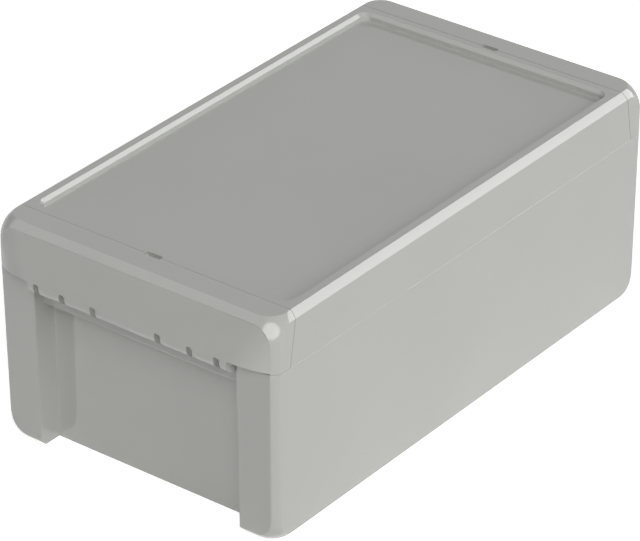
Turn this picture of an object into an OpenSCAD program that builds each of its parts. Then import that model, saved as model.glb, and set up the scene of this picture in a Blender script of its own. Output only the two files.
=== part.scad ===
// Moulded project box: base tub with wall-mounting columns, screwed lid with a sunken panel,
// and a snap-on hinged flap at each end that hides the lid screws.
// Frame: X along the length, Y across, Z up, origin in the middle of the underside.

/* [Case] */
// Length of the case over its end faces
case_length = 221.5; // [200:0.5:260]
// Width of the case
case_width = 125; // [112:0.5:160]
// Height of the closed case
case_height = 90; // [84:0.5:110]
// Height of the seam between base and lid
seam_height = 69.5; // [64:0.5:72]
// Thickness of the side and end walls
wall = 3.2; // [2.6:0.1:4]
// Thickness of the floor
floor_thickness = 3.5; // [2.5:0.1:5]
// Lean of the base sides in degrees
draft = 0.5; // [0.1:0.1:1]
// Width of the softened strip along each outer edge
edge_strip = 2.5; // [1.5:0.1:3.5]
// Radius of the rounded corners of each outer face
face_corner = 7; // [5:0.5:9]

/* [End recess] */
// Width of each corner column
column_width = 17; // [16:0.5:20]
// Depth of the recess between the columns
recess_depth = 10.3; // [8:0.1:12]
// How far the rim beam above the recess stands back from the end face
beam_setback = 5; // [4:0.1:6]
// Height of the rim beam
beam_height = 11.7; // [8:0.1:16]

/* [Lid] */
// Width of the flat rim at each end
end_rim = 14.7; // [13:0.1:22]
// Width of the flat rim along each side
side_rim = 5.6; // [5:0.1:12]
// Depth of the sunken panel
panel_depth = 3; // [1.5:0.1:4]
// Size of the bevel round the panel
panel_bevel = 1.25; // [0.5:0.05:1.4]
// Corner radius of the sunken panel
panel_corner = 4.6; // [2.5:0.1:8]
// Thickness of the lid under the panel
lid_skin = 2.8; // [2:0.1:3.5]
// Height of the screw shelf below the top of the lid
shelf_drop = 6; // [5.2:0.1:7]
// Thickness of the screw shelf
shelf_thickness = 2.4; // [1.6:0.1:3.2]

/* [Seal] */
// Distance of the seal line from the outside of the case sides
seal_inset = 2.1; // [1.9:0.05:2.3]
// Distance of the seal line from the end faces
seal_end_inset = 12.75; // [12:0.05:13.2]
// Width of the tongue on the base
tongue_width = 1.2; // [0.8:0.1:1.4]
// Height of the tongue
tongue_height = 1.5; // [1:0.1:2]
// Width of the groove in the lid
groove_width = 2.2; // [1.8:0.1:2.4]
// Height of the seal
seal_height = 1.8; // [1.2:0.1:2.4]
// Radius of the seal line at the corners
seal_corner = 6; // [4:0.5:8]

/* [Flaps] */
// Length of the flap on top of the case
flap_length = 11.7; // [10.5:0.1:12.5]
// Lean of the seam at the side of the flap in degrees
seam_lean = 9.8; // [4:0.1:12]
// Wall of the flap
flap_wall = 2; // [1.6:0.1:2.2]
// How far the front of the flap swells out at its foot
flap_bulge = 4.75; // [3.5:0.05:5.5]
// Gap between a flap and the parts round it
flap_gap = 0.2; // [0.2:0.05:0.5]
// Gap between a flap's front and the column below it
flap_lift = 0.7; // [0.4:0.1:1.2]
// Length of the screwdriver slot in the seam
slot_length = 7; // [5:0.5:12]
// Width of the screwdriver slot
slot_width = 2.4; // [1.6:0.1:3]
// Depth of the screwdriver slot
slot_depth = 1.6; // [1:0.1:2]

/* [Flap hinge] */
// Distance of the hinge axis in front of the end faces
axis_out = 1.15; // [1:0.05:1.4]
// Radius of the rolled foot of the flap
foot_radius = 4.65; // [4.3:0.05:5]
// Height of the middle of the rolled foot above the hinge axis
foot_rise = 0.75; // [0.5:0.05:1]
// Radius of the moulded hinge rod
rod_radius = 1.4; // [1.2:0.1:1.6]
// Radial running clearance on the rod
hinge_clearance = 0.06; // [0.02:0.01:0.1]
// Width of the snap-in mouth of a hinge hook
mouth_width = 2.1; // [1.8:0.1:2.3]
// How far the hooks reach behind the hinge axis
jaw_reach = 2.6; // [2:0.1:3]
// Width of the notches between the hooks
notch_width = 2.55; // [2:0.05:3.5]
// Distance of the middle pair of notches from the middle of the case
notch_middle = 14.5; // [10:0.1:18]
// Distance of the second pair of notches from the columns
notch_second = 16.9; // [14:0.1:18]
// Distance of the outermost notches from the columns
notch_outer = 5; // [4:0.1:7]
// Thickness of the ribs that carry the rod
rib_thickness = 1.5; // [1:0.1:1.8]
// Free space between the end hooks and the columns
hook_play = 0.8; // [0.5:0.1:1.2]

/* [Lid screws] */
// Distance of the lid screws from the end faces
screw_end = 7.15; // [6.8:0.05:7.4]
// Distance of the lid screws from the case sides
screw_side = 5.5; // [5.5:0.05:5.8]
// Diameter of the screw head
head_diameter = 6.4; // [5.6:0.1:6.6]
// Height of the screw head
head_height = 2.6; // [1.8:0.1:2.8]
// Thread diameter of the lid screws
screw_diameter = 4; // [3:0.1:4.2]
// Diameter of the reduced shank that keeps the screw captive
shank_diameter = 3.2; // [2.4:0.1:3.4]
// Length of thread inside the insert
thread_grip = 6.5; // [5:0.5:7.5]
// Diameter of the threaded insert
insert_diameter = 5.6; // [5.2:0.1:5.8]
// Length of the threaded insert
insert_length = 8; // [7.8:0.1:11]
// Diameter of the retaining washer
washer_diameter = 6.8; // [6:0.1:7]
// Thickness of the retaining washer
washer_thickness = 1; // [0.6:0.1:1.4]

/* [Wall mounting] */
// Distance of the wall screws from the end faces
wall_screw_end = 5.35; // [5.2:0.05:5.5]
// Distance of the wall screws from the case sides
wall_screw_side = 12.5; // [12.2:0.1:12.6]
// Diameter of the screw channel in the column
channel_diameter = 7.2; // [6.6:0.1:7.4]
// Diameter of the wall-mounting hole
wall_hole = 4.4; // [3.6:0.1:5]
// Thickness of the column foot under the screw head
column_foot = 6; // [4:0.5:10]

/* [Board bosses] */
// Spacing of the board bosses along the case
boss_spacing_x = 172; // [120:1:176]
// Spacing of the board bosses across the case
boss_spacing_y = 92; // [60:1:100]
// Height of the board bosses above the floor
boss_height = 6; // [4:0.5:12]
// Diameter of the board bosses
boss_diameter = 7; // [6:0.1:9]
// Pilot hole of the board bosses
boss_hole = 2.5; // [2:0.1:3.2]

/* [Hidden] */
$fn = 64;
fit = 0.02;
over = 1;
half_l = case_length / 2;
half_w = case_width / 2;
soft_inset = face_corner + edge_strip;
soft_radius = sqrt(pow(soft_inset, 2) + pow(face_corner, 2));
lean = seam_height * tan(draft);
// end recess and rim beam
column_y = half_w - column_width;
recess_x = half_l - recess_depth;
beam_x = half_l - beam_setback;
cavity_x = recess_x - wall;
cavity_y = half_w - wall;
cavity_corner = 4;
// seal line
seal_x = half_l - seal_end_inset;
seal_y = half_w - seal_inset;
lid_lip = 1.4;
lid_cavity_x = seal_x - groove_width / 2 - lid_lip;
lid_cavity_y = seal_y - groove_width / 2 - lid_lip;
lid_ceiling = case_height - panel_depth - lid_skin;
groove_top = seam_height + tongue_height + seal_height;
// flap and hinge
flap_x = half_l - flap_length;
slope = tan(seam_lean);
axis_x = half_l + axis_out;
axis_z = seam_height;
hook_y = column_y - hook_play;
notch_places = [notch_middle, column_y - notch_second, column_y - notch_outer];
flap_inner_y = half_w - flap_wall;
flap_foot = seam_height + flap_lift;
bulge_foot_y = hook_y - 0.7;
rib_place = 21.5;
bulge_end_y = half_w - edge_strip;
bulge_radius = (pow(bulge_end_y - bulge_foot_y, 2) + pow(flap_bulge, 2)) / (2 * flap_bulge);
notch_top = axis_z + rod_radius + 0.4;
// centre of the rolled foot, which runs smoothly into the leaning flap front
front_lean = atan(flap_bulge / (case_height - edge_strip - flap_foot));
foot_z = axis_z + foot_rise;
foot_x = half_l + flap_bulge - (foot_z - flap_foot) * tan(front_lean) - foot_radius / cos(front_lean);
foot_top = foot_z + foot_radius * sin(front_lean);
// lid end under the flap
tail_x = half_l - flap_wall - 1.35;
tail_y = flap_inner_y - flap_gap;
swing_radius = axis_x - tail_x - 0.35;
shelf_z = case_height - shelf_drop;
pocket_x = seal_x + groove_width / 2 + lid_lip;
// screws
screw_x = half_l - screw_end;
screw_y = half_w - screw_side;
channel_x = half_l - wall_screw_end;
channel_y = half_w - wall_screw_side;
boss_r = screw_diameter / 2 + 2.2;
washer_seat = seam_height + washer_thickness + 0.6;

// ---------- shared shapes ----------

module both_x() {
  children();
  mirror([1, 0, 0]) children();
}

module four() {
  for (sx = [-1, 1], sy = [-1, 1])
    scale_sign(sx, sy) children();
}

module scale_sign(sx, sy) {
  mirror([sx < 0 ? 1 : 0, 0, 0]) mirror([0, sy < 0 ? 1 : 0, 0]) children();
}

// rectangle with rounded corners, built from true arcs
module round_rect(hx, hy, r) {
  square([2 * hx - 2 * r, 2 * hy], center = true);
  square([2 * hx, 2 * hy - 2 * r], center = true);
  for (sx = [-1, 1], sy = [-1, 1])
    translate([sx * (hx - r), sy * (hy - r)]) circle(r);
}

// what the large soft radius takes off the outside of one corner, a skin further in
module soft_sliver(skin) {
  difference() {
    square(soft_inset + over);
    circle(soft_radius - skin);
  }
}

// takes the soft strips and soft corners off one end of a box whose face stands at height z
module soften_end(hx, hy, z, up, skin = 0) {
  translate([0, 0, z - up * soft_inset]) mirror([0, 0, up < 0 ? 1 : 0]) {
    for (side = [0, 1])
      rotate([0, 0, side * 180]) {
        translate([-(hx - soft_inset), hy - soft_inset, 0])
          rotate([90, 0, 90]) linear_extrude(2 * (hx - soft_inset)) soft_sliver(skin);
        translate([hx - soft_inset, hy - soft_inset, 0])
          rotate([90, 0, 0]) linear_extrude(2 * (hy - soft_inset)) soft_sliver(skin);
      }
    four() translate([hx - soft_inset, hy - soft_inset, 0])
      difference() {
        cube(soft_inset + over);
        sphere(soft_radius - skin);
      }
  }
}

module soft_plan(hx, hy, skin = 0) {
  difference() {
    square([2 * (hx - skin), 2 * (hy - skin)], center = true);
    four() translate([hx - soft_inset, hy - soft_inset]) soft_sliver(skin);
  }
}

// outside of the case above the seam, or the same shape a skin further in
module upper_body(skin = 0) {
  difference() {
    translate([0, 0, seam_height - skin])
      linear_extrude(case_height - seam_height) soft_plan(half_l, half_w, skin);
    soften_end(half_l, half_w, case_height, 1, skin);
  }
}

// everything outboard of the leaning flap seam at the -X end, moved outboard by a gap
module beyond_seam(gap) {
  translate([0, 2 * half_w, 0]) rotate([90, 0, 0]) linear_extrude(4 * half_w)
    polygon([
      [-flap_x - gap, case_height],
      [-flap_x - gap - (case_height - seam_height + over) * slope, seam_height - over],
      [-2 * half_l, seam_height - over],
      [-2 * half_l, case_height + 20],
      [-flap_x - gap + 20 * slope, case_height + 20]
    ]);
}

// ---------- base ----------

module base_outside() {
  difference() {
    linear_extrude(seam_height, scale = [half_l / (half_l - lean), half_w / (half_w - lean)], slices = 1)
      soft_plan(half_l - lean, half_w - lean);
    soften_end(half_l - lean, half_w - lean, 0, -1);
  }
}

module end_recess() {
  translate([-half_l - over, -column_y, -over])
    cube([recess_depth + over, 2 * column_y, seam_height - beam_height + over]);
  translate([-half_l - over, -column_y, seam_height - beam_height - over])
    cube([beam_setback + over, 2 * column_y, beam_height + 2 * over]);
}

// web that ties the hinge rod to the rim beam
module hinge_rib(y) {
  translate([0, y + rib_thickness / 2, 0]) rotate([90, 0, 0]) linear_extrude(rib_thickness)
    polygon([
      [-beam_x + 0.5, seam_height],
      [-axis_x, seam_height],
      [-axis_x - rod_radius * 0.6, axis_z - rod_radius * 0.8],
      [-axis_x + 1, axis_z - 2.5],
      [-beam_x + 0.5, axis_z - 4.5]
    ]);
}

// rod on six ribs along the top of the rim beam
module hinge_rod() {
  translate([-axis_x, hook_y, axis_z]) rotate([90, 0, 0])
    cylinder(r = rod_radius, h = 2 * hook_y);
  for (y = notch_places, s = [-1, 1])
    hinge_rib(s * y);
}

module board_boss() {
  translate([boss_spacing_x / 2, boss_spacing_y / 2, 0]) {
    translate([0, 0, floor_thickness - 0.5])
      cylinder(d = boss_diameter, h = boss_height + 0.5);
    for (a = [0, 90, 180, 270])
      rotate([0, 0, a]) translate([0, -0.75, floor_thickness - 0.5])
        cube([boss_diameter / 2 + 2.5, 1.5, boss_height - 1.5]);
  }
}

module base() {
  color("#b9bbb5") difference() {
    union() {
      difference() {
        base_outside();
        both_x() end_recess();
        translate([0, 0, floor_thickness])
          linear_extrude(seam_height) round_rect(cavity_x, cavity_y, cavity_corner);
      }
      translate([0, 0, seam_height - 0.5]) linear_extrude(tongue_height + 0.5) difference() {
        round_rect(seal_x + tongue_width / 2, seal_y + tongue_width / 2, seal_corner + tongue_width / 2);
        round_rect(seal_x - tongue_width / 2, seal_y - tongue_width / 2, seal_corner - tongue_width / 2);
      }
      both_x() hinge_rod();
      four() board_boss();
    }
    four() {
      translate([channel_x, channel_y, column_foot])
        cylinder(d = channel_diameter, h = seam_height);
      translate([channel_x, channel_y, -over])
        cylinder(d = wall_hole, h = column_foot + 2 * over);
      translate([screw_x, screw_y, seam_height - insert_length - 0.2])
        cylinder(d = insert_diameter + 2 * fit, h = insert_length + over);
      translate([screw_x, screw_y, seam_height - insert_length - 6])
        cylinder(d = screw_diameter + 0.4, h = 7);
      translate([boss_spacing_x / 2, boss_spacing_y / 2, floor_thickness])
        cylinder(d = boss_hole, h = boss_height + over);
    }
  }
}

// ---------- lid ----------

module panel_recess() {
  translate([0, 0, case_height - panel_depth])
    linear_extrude(panel_depth + over)
      round_rect(half_l - end_rim - panel_bevel, half_w - side_rim - panel_bevel, panel_corner - panel_bevel);
  for (s = [0, 1]) rotate([0, 0, s * 180]) {
    translate([-(half_l - end_rim - panel_corner), half_w - side_rim, case_height])
      rotate([90, 0, 90]) linear_extrude(2 * (half_l - end_rim - panel_corner)) bevel_section();
    translate([half_l - end_rim, half_w - side_rim - panel_corner, case_height])
      rotate([90, 0, 0]) linear_extrude(2 * (half_w - side_rim - panel_corner)) bevel_section();
  }
  four() translate([half_l - end_rim - panel_corner, half_w - side_rim - panel_corner, case_height])
    rotate_extrude(angle = 90) intersection() {
      translate([panel_corner, 0]) bevel_section();
      translate([0, -panel_bevel]) square([panel_corner + over, panel_bevel + over]);
    }
}

module bevel_section() {
  polygon([
    [0, 0],
    [-panel_bevel, -panel_bevel],
    [-panel_bevel - 0.5, -panel_bevel],
    [-panel_bevel - 0.5, 0.5],
    [0, 0.5]
  ]);
}

// lid end below the flap: screw shelf, front wall and two screw bosses round an open pocket
module lid_tail() {
  difference() {
    intersection() {
      translate([-tail_x, -tail_y, seam_height])
        cube([tail_x - lid_cavity_x, 2 * tail_y, shelf_z - seam_height]);
      upper_body(flap_wall + flap_gap);
    }
    difference() {
      translate([-tail_x + 1.8, -tail_y + 2, seam_height - over])
        cube([tail_x - 1.8 - pocket_x, 2 * tail_y - 4, shelf_z - shelf_thickness - seam_height + over]);
      for (s = [-1, 1]) {
        translate([-screw_x, s * screw_y, seam_height])
          cylinder(r = boss_r, h = shelf_z - seam_height);
        translate([-channel_x, s * channel_y, seam_height])
          cylinder(d = channel_diameter + 3, h = shelf_z - seam_height);
      }
      for (s = [-1, 1])
        translate([-tail_x, s * notch_places[0] - 0.8, seam_height])
          cube([tail_x - pocket_x + 1, 1.6, shelf_z - seam_height]);
    }
  }
}

module lid() {
  color("#b9bbb5") difference() {
    union() {
      difference() {
        upper_body();
        both_x() beyond_seam(0);
      }
      both_x() lid_tail();
    }
    panel_recess();
    translate([0, 0, seam_height - over])
      linear_extrude(lid_ceiling - seam_height + over) round_rect(lid_cavity_x, lid_cavity_y, cavity_corner);
    translate([0, 0, seam_height - over])
      linear_extrude(groove_top - seam_height + over) difference() {
        round_rect(seal_x + groove_width / 2, seal_y + groove_width / 2, seal_corner + groove_width / 2);
        round_rect(seal_x - groove_width / 2, seal_y - groove_width / 2, seal_corner - groove_width / 2);
      }
    both_x() {
      translate([-flap_x - over, -slot_length / 2, case_height - slot_depth])
        cube([slot_width / 2 + over, slot_length, slot_depth + over]);
    }
    four() {
      translate([channel_x, channel_y, seam_height - over])
        cylinder(d = channel_diameter + 0.4, h = case_height);
      translate([screw_x, screw_y, seam_height - over])
        cylinder(d = screw_diameter + 0.4, h = case_height);
      translate([screw_x, screw_y, seam_height - over])
        cylinder(d = washer_diameter + 0.4, h = washer_seat - seam_height + over);
      translate([screw_x, screw_y, shelf_z])
        cylinder(d = head_diameter + 0.3, h = shelf_drop - flap_wall);
    }
  }
}

// ---------- seal ----------

module lid_seal() {
  color("#2b2c2c") translate([0, 0, seam_height + tongue_height]) linear_extrude(seal_height)
    difference() {
      round_rect(seal_x + groove_width / 2 - 0.1, seal_y + groove_width / 2 - 0.1, seal_corner + groove_width / 2 - 0.1);
      round_rect(seal_x - groove_width / 2 + 0.1, seal_y - groove_width / 2 + 0.1, seal_corner - groove_width / 2 + 0.1);
    }
}

// ---------- flaps ----------

// how far the foot of the flap front stands out at a distance y past its straight part
function swell(y) = flap_bulge - bulge_radius + sqrt(pow(bulge_radius, 2) - y * y);

// plan of the swollen foot of the flap front, a skin further in
module bulge_plan(skin) {
  span = bulge_end_y - bulge_foot_y;
  steps = 12;
  polygon(concat(
    [for (i = [steps:-1:0])
      [-half_l - swell(span * i / steps) + skin, -bulge_foot_y - (span - skin) * i / steps]],
    [for (i = [0:steps])
      [-half_l - swell(span * i / steps) + skin, bulge_foot_y + (span - skin) * i / steps]],
    [[-half_l + skin + 3, bulge_end_y - skin], [-half_l + skin + 3, skin - bulge_end_y]]
  ));
}

// flap front: a straight top line under the edge strip lofted into the swollen foot
module flap_front(skin) {
  depth = 3;
  start = 0.15;
  hull() {
    translate([0, 0, skin > 0 ? seam_height - 2 : flap_foot]) linear_extrude(0.2)
      bulge_plan(skin);
    for (s = [-1, 1])
      translate([-half_l + skin + start, s * (bulge_end_y - face_corner), case_height - edge_strip - face_corner])
        rotate([0, 90, 0]) cylinder(r = face_corner - skin, h = depth, $fn = 32);
  }
}

// section of the rolled foot: behind the hinge axis it stays clear of the lid while it swings
module foot_section() {
  intersection() {
    translate([-foot_x, foot_z]) circle(r = foot_radius);
    union() {
      translate([-axis_x, axis_z]) circle(r = swing_radius);
      translate([-axis_x - 10, axis_z - 10]) square([10, 20]);
    }
    translate([-axis_x - 10, axis_z - 10]) square([10 + jaw_reach, 20]);
  }
}

module flap_hook_holes() {
  bore = rod_radius + hinge_clearance;
  bottom = foot_z - foot_radius - over;
  translate([-axis_x, hook_y + over, axis_z]) rotate([90, 0, 0])
    cylinder(r = bore, h = 2 * (hook_y + over));
  translate([-axis_x, -hook_y - over, axis_z - mouth_width / 2])
    cube([jaw_reach + over, 2 * (hook_y + over), mouth_width]);
  for (y = notch_places, s = [-1, 1])
    translate([-foot_x - foot_radius - 1, s * y - notch_width / 2, bottom])
      cube([2 * foot_radius + 2, notch_width, notch_top - bottom]);
}

module end_flap() {
  difference() {
    union() {
      difference() {
        union() {
          intersection() {
            upper_body();
            beyond_seam(flap_gap);
          }
          flap_front(0);
        }
        // inside of the flap
        upper_body(flap_wall);
        flap_front(flap_wall);
        // the front foot stands clear of the columns, the cheeks of the seam
        translate([-2 * half_l, -bulge_end_y, 0])
          cube([2 * half_l - flap_x, 2 * bulge_end_y, flap_foot]);
        translate([-2 * half_l, -half_w - over, 0])
          cube([2 * half_l, case_width + 2 * over, seam_height + flap_gap]);
        // the rolled foot takes over where the front runs into it
        translate([-2 * half_l, -hook_y, 0])
          cube([2 * half_l - flap_x, 2 * hook_y, foot_top]);
      }
      // rolled foot
      translate([0, hook_y, 0]) rotate([90, 0, 0])
        linear_extrude(2 * hook_y) foot_section();
      // stiffening ribs inside
      for (s = [-1, 1])
        translate([0, s * rib_place + rib_thickness / 2, 0]) rotate([90, 0, 0])
          linear_extrude(rib_thickness) polygon([
            [-half_l + 1, case_height - flap_wall + 0.5],
            [-half_l - flap_bulge * 0.6 + 1, foot_z + foot_radius + 0.5],
            [-half_l - flap_bulge * 0.6 + flap_wall + 2, foot_z + foot_radius + 0.5],
            [-half_l + flap_wall + 1.1, case_height - flap_wall + 0.5]
          ]);
    }
    flap_hook_holes();
    // screwdriver slot
    translate([-flap_x - slot_width / 2, -slot_length / 2, case_height - slot_depth])
      cube([slot_width / 2 + over, slot_length, slot_depth + over]);
  }
}

module end_flap_left() {
  color("#b9bbb5") end_flap();
}

module end_flap_right() {
  color("#b9bbb5") mirror([1, 0, 0]) end_flap();
}

// ---------- fasteners ----------

module lid_screw() {
  tip = seam_height - 0.2 - thread_grip;
  color("silver") translate([screw_x, screw_y, 0]) difference() {
    union() {
      translate([0, 0, shelf_z]) cylinder(d = head_diameter, h = head_height - 0.4);
      translate([0, 0, shelf_z + head_height - 0.4])
        cylinder(d1 = head_diameter, d2 = head_diameter - 0.8, h = 0.4);
      translate([0, 0, seam_height]) cylinder(d = shank_diameter, h = shelf_z - seam_height + 0.5);
      translate([0, 0, tip]) cylinder(d = screw_diameter - 2 * fit, h = seam_height - tip);
    }
    translate([-head_diameter / 2 - over, -0.5, shelf_z + head_height - 1.3])
      cube([head_diameter + 2 * over, 1, 1.3 + over]);
    translate([-0.5, -1.9, shelf_z + head_height - 1.3]) cube([1, 3.8, 1.3 + over]);
  }
}

module thread_insert() {
  bottom = seam_height - 0.2 - insert_length;
  color("#b08d3c") translate([screw_x, screw_y, bottom]) rotate_extrude() difference() {
    translate([screw_diameter / 2, 0]) square([(insert_diameter - screw_diameter) / 2, insert_length]);
    translate([insert_diameter / 2 - 0.3, insert_length / 2 - 0.6]) square([1, 1.2]);
  }
}

module retaining_washer() {
  color("#e8e6dc") translate([screw_x, screw_y, seam_height + 0.3]) difference() {
    cylinder(d = washer_diameter, h = washer_thickness);
    translate([0, 0, -over]) cylinder(d = shank_diameter + 0.1, h = washer_thickness + 2 * over);
  }
}

module lid_screw_left_front() { scale_sign(-1, -1) lid_screw(); }
module lid_screw_left_back() { scale_sign(-1, 1) lid_screw(); }
module lid_screw_right_front() { scale_sign(1, -1) lid_screw(); }
module lid_screw_right_back() { scale_sign(1, 1) lid_screw(); }
module insert_left_front() { scale_sign(-1, -1) thread_insert(); }
module insert_left_back() { scale_sign(-1, 1) thread_insert(); }
module insert_right_front() { scale_sign(1, -1) thread_insert(); }
module insert_right_back() { scale_sign(1, 1) thread_insert(); }
module washer_left_front() { scale_sign(-1, -1) retaining_washer(); }
module washer_left_back() { scale_sign(-1, 1) retaining_washer(); }
module washer_right_front() { scale_sign(1, -1) retaining_washer(); }
module washer_right_back() { scale_sign(1, 1) retaining_washer(); }

base();
lid();
lid_seal();
end_flap_left();
end_flap_right();
lid_screw_left_front();
lid_screw_left_back();
lid_screw_right_front();
lid_screw_right_back();
insert_left_front();
insert_left_back();
insert_right_front();
insert_right_back();
washer_left_front();
washer_left_back();
washer_right_front();
washer_right_back();
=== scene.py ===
import math

import bmesh
import bpy
from mathutils import Matrix, Vector

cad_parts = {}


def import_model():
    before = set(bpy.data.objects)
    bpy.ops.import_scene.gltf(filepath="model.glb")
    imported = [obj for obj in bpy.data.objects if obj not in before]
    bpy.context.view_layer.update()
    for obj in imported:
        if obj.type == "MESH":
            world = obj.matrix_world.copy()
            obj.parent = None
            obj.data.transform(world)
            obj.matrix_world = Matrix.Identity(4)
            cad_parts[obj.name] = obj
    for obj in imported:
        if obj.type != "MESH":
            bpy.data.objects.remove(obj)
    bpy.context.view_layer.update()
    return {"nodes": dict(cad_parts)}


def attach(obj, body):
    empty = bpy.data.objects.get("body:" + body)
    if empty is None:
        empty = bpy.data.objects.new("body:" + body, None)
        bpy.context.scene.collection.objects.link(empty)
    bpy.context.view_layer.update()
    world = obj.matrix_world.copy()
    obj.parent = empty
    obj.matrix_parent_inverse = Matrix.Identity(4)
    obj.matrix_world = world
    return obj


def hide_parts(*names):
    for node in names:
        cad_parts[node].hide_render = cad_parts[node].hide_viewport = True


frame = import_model()

# Metres, watts and degrees throughout.

# camera, solved from the straight edges of the box
AZIMUTH = -52.345
ELEVATION = 30.046
ROLL = -0.133
DISTANCE = 1.4843
TARGET = Vector((0.0, 0.0, 0.0383))
SENSOR = 36.0
LENS = 227.637
SHIFT_X = -0.01467
SHIFT_Y = 0.00076
CLIP_START = 0.05
CLIP_END = 60.0

# white studio: what cameras and mirrors see, and the little that lights the box
WHITE = (1.0, 1.0, 1.0, 1.0)
WORLD_LIGHT = 0.03
SEEN_WHITE = 1.0
FLOOR_COLOUR = (0.9, 0.9, 0.9, 1.0)
FLOOR_GLOW = 0.66
FLOOR_HALF = 14.0
FLOOR_DROP = 0.0001

# name, direction from the box, size, watts, whether it lights, whether it is mirrored
LAMP_DISTANCE = 5.0
LAMPS = (
    ("disc_right", (0.768, -0.570, 0.292), 4.4, 238.0, False, True),
    ("disc_front", (-0.688, -0.581, 0.435), 5.4, 327.0, False, True),
    ("disc_left", (-0.594, 0.630, 0.5), 4.4, 58.4, False, True),
    ("light_left", (-0.594, 0.630, 0.5), 4.4, 50.0, True, True),
    ("light_top", (0.0, 0.0, 1.0), 3.0, 10.0, True, False),
    ("light_side_low", (0.0, -1.0, 0.25), 3.0, 54.0, True, False),
    ("light_side_high", (0.0, -1.0, 0.6), 3.0, 60.0, True, False),
    ("light_corner", (-0.75, -0.45, 0.8), 3.0, 106.0, True, False),
    ("light_behind", (0.75, 0.6, 0.05), 3.0, 110.0, True, False),
)

# case plastic: colour, roughness, depth of the grain, and the radius that the
# shading gives the tub's edges, which draws the bright line under the lid
CASE_COLOUR = (0.505, 0.51, 0.484)
CASE_ROUGH = 0.03
CASE_BUMP = 0.004
TUB_EDGE = 0.0008

PLASTIC_IOR = 1.5
PLASTIC_CLOUD = 14.0
PLASTIC_CLOUD_DETAIL = 3.0
PLASTIC_CLOUD_RANGE = (0.3, 0.7)
PLASTIC_GLOSS_SPREAD = 0.1
PLASTIC_GRAIN = 900.0
PLASTIC_GRAIN_DEPTH = 0.0002
EDGE_SAMPLES = 6

METAL_GRAIN = 700.0
METAL_DARKER = 0.85
METAL_GLOSS_SPREAD = 0.2

# foot of the flap: over the columns its underside rises outwards from the end
# face, which the source has level
END_FACE = 0.11075
FOOT_EDGE_Z = 0.0700
FOOT_SLOPE = 0.325
FOOT_SPAN = (0.0447, 0.0600)
FOOT_REACH = (-0.0003, 0.0065)
FOOT_FLOOR = 0.0690


def add_object(name, data):
    obj = bpy.data.objects.new(name, data)
    bpy.context.collection.objects.link(obj)
    return obj


def camera():
    a, e, r = (math.radians(v) for v in (AZIMUTH, ELEVATION, ROLL))
    back = Vector((math.sin(a) * math.cos(e), -math.cos(a) * math.cos(e), math.sin(e)))
    level = Vector((math.cos(a), math.sin(a), 0.0))
    rise = back.cross(level)
    right = math.cos(r) * level + math.sin(r) * rise
    up = math.cos(r) * rise - math.sin(r) * level
    data = bpy.data.cameras.new("camera")
    data.sensor_width = SENSOR
    data.lens = LENS
    data.shift_x = SHIFT_X
    data.shift_y = SHIFT_Y
    data.clip_start = CLIP_START
    data.clip_end = CLIP_END
    cam = add_object("camera", data)
    turn = Matrix((right, up, back)).transposed().to_4x4()
    cam.matrix_world = Matrix.Translation(TARGET + back * DISTANCE) @ turn
    bpy.context.scene.camera = cam


def lamp(name, way, size, watts, lights, mirrored):
    """A round lamp facing the box, which may light it, be mirrored in it, or both."""
    data = bpy.data.lights.new(name, "AREA")
    data.shape = "DISK"
    data.size = size
    data.energy = watts
    obj = add_object(name, data)
    obj.visible_diffuse = lights
    obj.visible_glossy = mirrored
    way = Vector(way).normalized()
    obj.location = TARGET + way * LAMP_DISTANCE
    obj.rotation_mode = "QUATERNION"
    obj.rotation_quaternion = way.to_track_quat("Z", "Y")


def nodes_of(owner):
    """The owner's emptied node tree, its nodes and its links."""
    owner.use_nodes = True
    tree = owner.node_tree
    tree.nodes.clear()
    return tree, tree.nodes, tree.links


def seen_directly(tree):
    """1 for camera, glossy and transmission rays, which see the white studio."""
    path = tree.nodes.new("ShaderNodeLightPath")
    total = path.outputs["Is Camera Ray"]
    for ray in ("Is Glossy Ray", "Is Transmission Ray"):
        either = tree.nodes.new("ShaderNodeMath")
        either.operation = "MAXIMUM"
        tree.links.new(total, either.inputs[0])
        tree.links.new(path.outputs[ray], either.inputs[1])
        total = either.outputs[0]
    return total


def mix_by_sight(tree, lighting, seen, out):
    """Sends one shader to the rays that light the box and one to those that see."""
    mix = tree.nodes.new("ShaderNodeMixShader")
    tree.links.new(seen_directly(tree), mix.inputs[0])
    tree.links.new(lighting.outputs[0], mix.inputs[1])
    tree.links.new(seen.outputs[0], mix.inputs[2])
    tree.links.new(mix.outputs[0], out.inputs[0])


def world():
    studio = bpy.data.worlds.new("studio")
    bpy.context.scene.world = studio
    tree, nodes, _ = nodes_of(studio)
    out = nodes.new("ShaderNodeOutputWorld")
    soft = nodes.new("ShaderNodeBackground")
    soft.inputs["Color"].default_value = WHITE
    soft.inputs["Strength"].default_value = WORLD_LIGHT
    seen = nodes.new("ShaderNodeBackground")
    seen.inputs["Color"].default_value = WHITE
    seen.inputs["Strength"].default_value = SEEN_WHITE
    mix_by_sight(tree, soft, seen, out)


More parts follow.
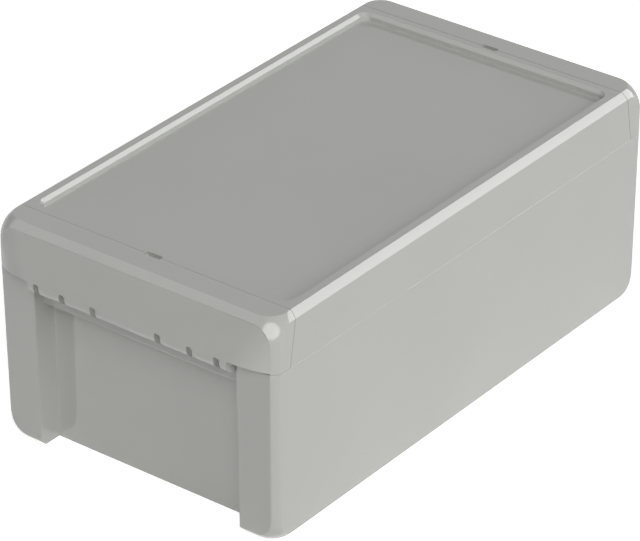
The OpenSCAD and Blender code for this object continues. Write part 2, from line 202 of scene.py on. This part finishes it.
def floor():
    h = FLOOR_HALF
    mesh = bpy.data.meshes.new("floor")
    corners = [(-h, -h, 0.0), (h, -h, 0.0), (h, h, 0.0), (-h, h, 0.0)]
    mesh.from_pydata(corners, [], [(0, 1, 2, 3)])
    obj = add_object("floor", mesh)
    obj.location.z = -FLOOR_DROP
    mat = bpy.data.materials.new("floor_white")
    tree, nodes, links = nodes_of(mat)
    out = nodes.new("ShaderNodeOutputMaterial")
    matt = nodes.new("ShaderNodeBsdfDiffuse")
    matt.inputs["Color"].default_value = FLOOR_COLOUR
    glow = nodes.new("ShaderNodeEmission")
    glow.inputs["Color"].default_value = WHITE
    glow.inputs["Strength"].default_value = FLOOR_GLOW
    both = nodes.new("ShaderNodeAddShader")
    links.new(matt.outputs[0], both.inputs[0])
    links.new(glow.outputs[0], both.inputs[1])
    mix_by_sight(tree, matt, both, out)
    mesh.materials.append(mat)


def shader(name):
    """A material's tree with its Principled shader joined up and its coordinates."""
    mat = bpy.data.materials.new(name)
    _, nodes, links = nodes_of(mat)
    out = nodes.new("ShaderNodeOutputMaterial")
    bsdf = nodes.new("ShaderNodeBsdfPrincipled")
    links.new(bsdf.outputs[0], out.inputs[0])
    where = nodes.new("ShaderNodeTexCoord")
    return mat, nodes, links, bsdf, where


def noise(nodes, links, where, scale, detail=2.0):
    cloud = nodes.new("ShaderNodeTexNoise")
    cloud.inputs["Scale"].default_value = scale
    cloud.inputs["Detail"].default_value = detail
    links.new(where.outputs["Object"], cloud.inputs["Vector"])
    return cloud.outputs["Fac"]


def tint(nodes, links, bsdf, fac, dark, light, ends=(0.0, 1.0)):
    """Colours the shader between dark and light by the noise."""
    ramp = nodes.new("ShaderNodeValToRGB")
    for stop, place, colour in zip(ramp.color_ramp.elements, ends, (dark, light)):
        stop.position = place
        stop.color = (*colour, 1.0)
    links.new(fac, ramp.inputs[0])
    links.new(ramp.outputs[0], bsdf.inputs["Base Color"])


def gloss(nodes, links, bsdf, fac, rough, spread):
    """Varies the roughness by the noise, a share of itself each way."""
    span = nodes.new("ShaderNodeMapRange")
    span.inputs["To Min"].default_value = rough * (1 - spread)
    span.inputs["To Max"].default_value = rough * (1 + spread)
    links.new(fac, span.inputs["Value"])
    links.new(span.outputs[0], bsdf.inputs["Roughness"])


def plastic(name, colour, rough, grain=0.02, bump=0.02, edge=0.0):
    mat, nodes, links, bsdf, where = shader(name)
    bsdf.inputs["IOR"].default_value = PLASTIC_IOR
    cloud = noise(nodes, links, where, PLASTIC_CLOUD, PLASTIC_CLOUD_DETAIL)
    dark = [c * (1 - grain) for c in colour]
    light = [c * (1 + grain) for c in colour]
    tint(nodes, links, bsdf, cloud, dark, light, PLASTIC_CLOUD_RANGE)
    gloss(nodes, links, bsdf, cloud, rough, PLASTIC_GLOSS_SPREAD)
    dimple = nodes.new("ShaderNodeBump")
    dimple.inputs["Strength"].default_value = bump
    dimple.inputs["Distance"].default_value = PLASTIC_GRAIN_DEPTH
    links.new(noise(nodes, links, where, PLASTIC_GRAIN), dimple.inputs["Height"])
    if edge:
        soft_edge = nodes.new("ShaderNodeBevel")
        soft_edge.samples = EDGE_SAMPLES
        soft_edge.inputs["Radius"].default_value = edge
        links.new(soft_edge.outputs["Normal"], dimple.inputs["Normal"])
    links.new(dimple.outputs[0], bsdf.inputs["Normal"])
    return mat


def metal(name, colour, rough):
    mat, nodes, links, bsdf, where = shader(name)
    bsdf.inputs["Metallic"].default_value = 1.0
    cloud = noise(nodes, links, where, METAL_GRAIN)
    tint(nodes, links, bsdf, cloud, [c * METAL_DARKER for c in colour], colour)
    gloss(nodes, links, bsdf, cloud, rough, METAL_GLOSS_SPREAD)
    return mat


def material_for(node):
    """The material whose key is the longest start of the node's name."""
    best = max((k for k in BY_START if node.startswith(k)), key=len)
    return BY_START[best]


def wedge(name, side, hand):
    """The prism between the level underside and the rising one, at one column."""
    rows = []
    for out in FOOT_REACH:
        top = FOOT_EDGE_Z + FOOT_SLOPE * max(out, 0.0)
        rows.append((side * (END_FACE + out), FOOT_FLOOR))
        rows.append((side * (END_FACE + out), top))
    points = [(x, hand * y, z) for y in FOOT_SPAN for x, z in rows]
    faces = [
        (0, 1, 3, 2),
        (4, 6, 7, 5),
        (0, 2, 6, 4),
        (1, 5, 7, 3),
        (0, 4, 5, 1),
        (2, 3, 7, 6),
    ]
    mesh = bpy.data.meshes.new(name)
    mesh.from_pydata(points, [], faces)
    work = bmesh.new()
    work.from_mesh(mesh)
    bmesh.ops.recalc_face_normals(work, faces=work.faces)
    work.to_mesh(mesh)
    work.free()
    return add_object(name, mesh)


def dressed_flap(node, body, side):
    """A copy of the flap's solid with the two wedges under its foot cut away."""
    source = frame["nodes"][node]
    piece = add_object(node + "_shell", source.data.copy())
    piece.matrix_world = source.matrix_world.copy()
    for hand in (-1, 1):
        cutter = wedge(f"{node}_wedge_{hand + 1}", side, hand)
        cut = piece.modifiers.new("foot", "BOOLEAN")
        cut.operation = "DIFFERENCE"
        cut.solver = "EXACT"
        cut.object = cutter
        bpy.context.view_layer.objects.active = piece
        bpy.ops.object.modifier_apply(modifier=cut.name)
        bpy.data.objects.remove(cutter)
    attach(piece, body)
    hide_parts(node)


camera()
world()
floor()
for row in LAMPS:
    lamp(*row)

case_mat = plastic("case_grey", CASE_COLOUR, CASE_ROUGH, bump=CASE_BUMP)
base_mat = plastic(
    "case_grey_base", CASE_COLOUR, CASE_ROUGH, bump=CASE_BUMP, edge=TUB_EDGE
)
BY_START = {
    "base": base_mat,
    "lid": case_mat,
    "end_flap": case_mat,
    "lid_seal": plastic("seal_black", (0.02, 0.02, 0.02), 0.6, grain=0.15),
    "lid_screw": metal("screw_steel", (0.6, 0.59, 0.57), 0.28),
    "insert": metal("insert_brass", (0.72, 0.5, 0.2), 0.3),
    "washer": plastic("washer_white", (0.7, 0.69, 0.65), 0.4),
}
for node, obj in frame["nodes"].items():
    mat = material_for(node)
    for slot in obj.material_slots:
        slot.material = mat

dressed_flap("end_flap_left", "flap_left", -1)
dressed_flap("end_flap_right", "flap_right", 1)

bpy.context.scene.view_settings.view_transform = "Standard"
